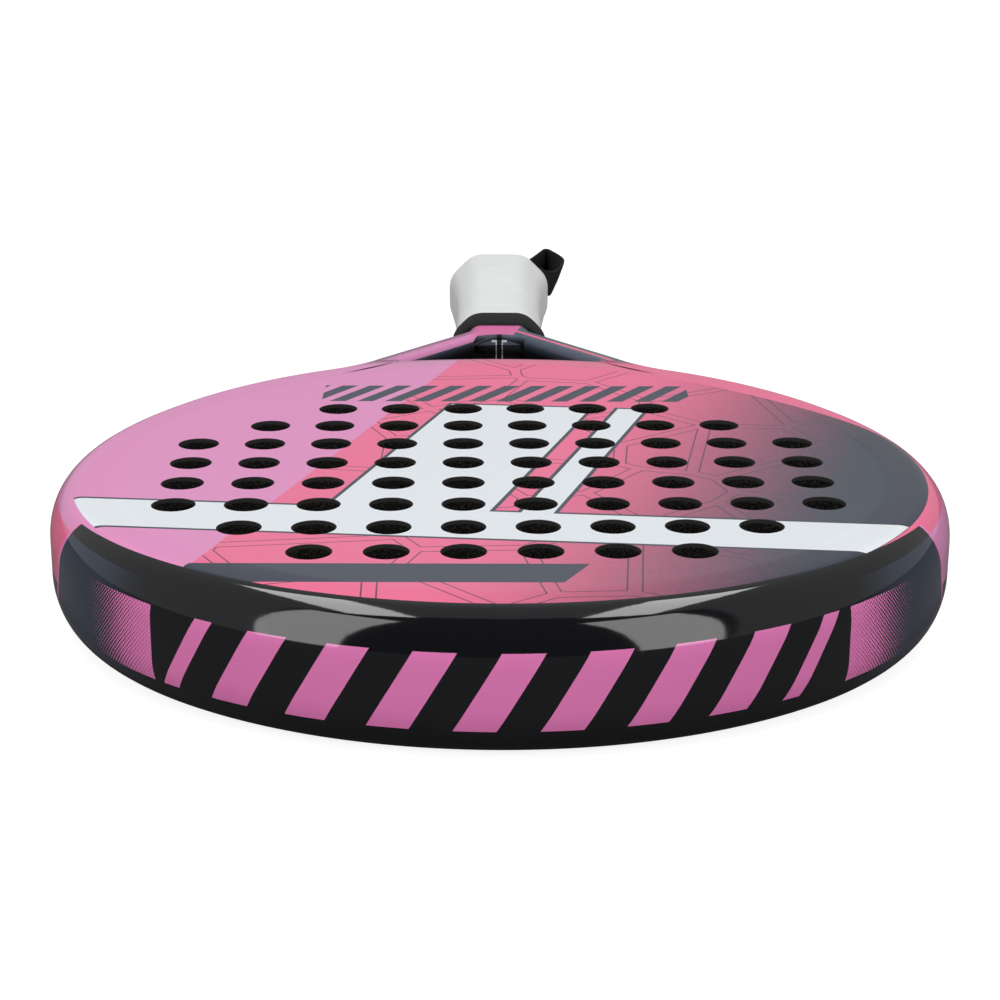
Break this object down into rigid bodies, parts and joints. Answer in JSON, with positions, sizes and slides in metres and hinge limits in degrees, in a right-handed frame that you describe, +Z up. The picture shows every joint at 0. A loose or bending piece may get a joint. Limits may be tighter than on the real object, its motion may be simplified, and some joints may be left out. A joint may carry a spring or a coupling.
{
  "type": "padel racket",
  "caption": "Round-headed padel racket with a drilled foam-cored face, hollow rim, open throat, wrapped handle and a wrist strap with a sliding keeper.",
  "frame": {"origin": "on the floor under the middle of the racket, which lies on its back face; the strap and its keeper don't count", "axes": "+X across the head, +Y from the tip of the head to the butt of the handle, +Z up, out of the front face"},
  "size_m": [0.26, 0.5911, 0.038],
  "materials": {
    "frame_lacquer": "printed composite under clear gloss lacquer, black at the tip, pink and slate on the sides",
    "face_lacquer": "printed composite sheet under clear lacquer, orchid, coral and slate",
    "core_foam": "drilled closed-cell foam, matt and porous",
    "plug_foam": "rigid cast foam",
    "cap_plastic": "fine moulded texture",
    "staple_steel": "bright drawn wire",
    "base_grip": "cushioned wrap",
    "overgrip": "smooth tacky white wrap",
    "finishing_tape": "thin vinyl tape",
    "collar_rubber": "matt moulded rubber",
    "webbing": "woven nylon webbing",
    "keeper_plastic": "moulded plastic"
  },
  "bodies": {
    "racket": {"frame_tube": "frame_lacquer", "throat_bridge": "face_lacquer", "throat_yoke": "frame_lacquer", "foam_core": "core_foam", "face_sheet_front": "face_lacquer", "face_sheet_back": "face_lacquer", "stem_spacer": "core_foam", "stem_plugs": "plug_foam", "butt_cap": "cap_plastic", "butt_staples": "staple_steel", "base_grip": "base_grip", "overgrip": "overgrip", "finishing_tape": "finishing_tape", "grip_collar": "collar_rubber", "strap_anchor": "webbing", "wrist_strap": "webbing"},
    "keeper": {"strap_keeper": "keeper_plastic"}
  },
  "joints": [
    {"name": "keeper_slide", "type": "slide", "parent": "racket", "child": "keeper", "axis": [0.2914, 0.9526, -0.0874], "range_m": [-0.028, 0.003]}
  ]
}
